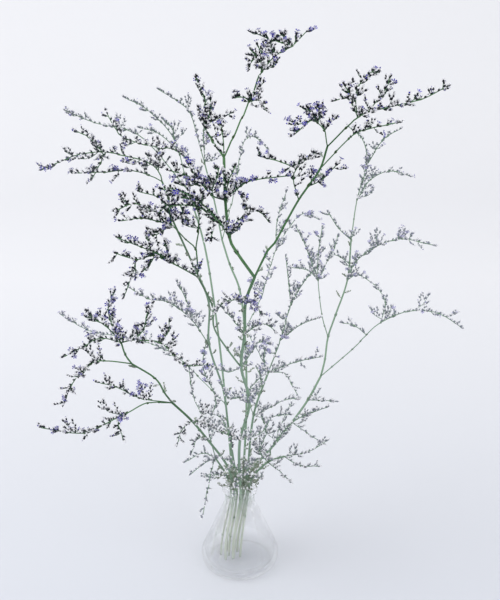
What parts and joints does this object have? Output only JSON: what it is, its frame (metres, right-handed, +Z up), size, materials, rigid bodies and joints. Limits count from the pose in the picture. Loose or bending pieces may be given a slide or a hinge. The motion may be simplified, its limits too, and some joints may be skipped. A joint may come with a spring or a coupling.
{
  "type": "dried statice in a vase",
  "caption": "Dried statice: wiry flowering stems that fork into one-sided sprays of tiny papery florets, standing loose in a small conical glass vase with a rolled lip.",
  "frame": {"origin": "middle of the vase's flat foot", "axes": "+Z up along the vase's axis, -Y towards the viewer, +X to the viewer's right"},
  "size_m": [0.3805, 0.3491, 0.5658],
  "materials": {
    "glass": "clear blown glass, smooth and slightly wavy",
    "dried_stem": "matt dried plant: blue-green stems with dark brown nodes, brown bracts, white papery florets and violet petals"
  },
  "bodies": {
    "root": {"vase": "glass", "central_stem": "dried_stem", "left_arching_stem": "dried_stem", "low_left_stem": "dried_stem", "right_back_stem": "dried_stem", "right_stem": "dried_stem", "back_stem": "dried_stem", "back_left_stem": "dried_stem", "low_right_stem": "dried_stem", "low_front_left_stem": "dried_stem"}
  },
  "joints": []
}
